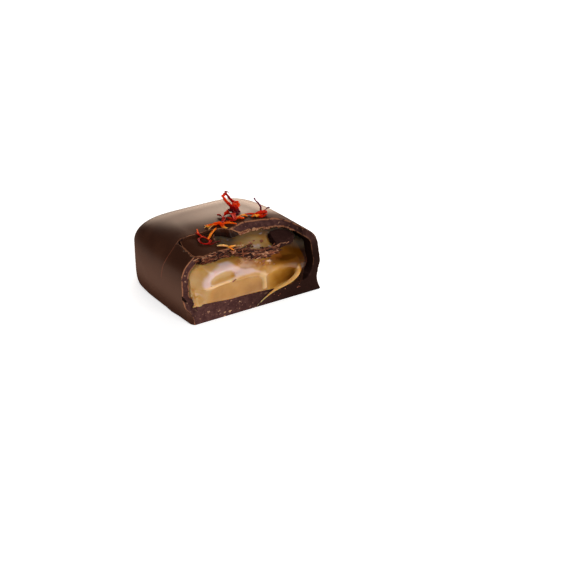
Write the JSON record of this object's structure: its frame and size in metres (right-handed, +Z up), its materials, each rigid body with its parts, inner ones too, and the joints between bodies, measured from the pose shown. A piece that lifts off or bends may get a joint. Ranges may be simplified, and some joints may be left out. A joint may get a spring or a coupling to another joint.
{
  "type": "salted caramel candy",
  "caption": "Half of a soft caramel sweet in a dark chocolate coat, cut and broken open, with dried saffron threads on top.",
  "frame": {"origin": "middle of the footprint of the bounding box, on the plane that the sweet rests on", "axes": "+X along the cut, to the right when the cut face is looked at; +Y away from the cut into the sweet; +Z up"},
  "size_m": [0.028, 0.026, 0.017],
  "materials": {
    "dark_chocolate": "set dark chocolate, satin with a soft sheen",
    "broken_chocolate": "freshly broken chocolate, matte and craggy with paler crumbs",
    "soft_caramel": "soft caramel, wet gloss, lets light in",
    "saffron_threads": "dried petal, matte, red running to orange and yellow"
  },
  "bodies": {
    "root": {"chocolate_coat": "dark_chocolate", "caramel": "soft_caramel", "roof_plate": "dark_chocolate", "roof_flap": "dark_chocolate", "roof_rubble": "broken_chocolate"}
  },
  "joints": []
}
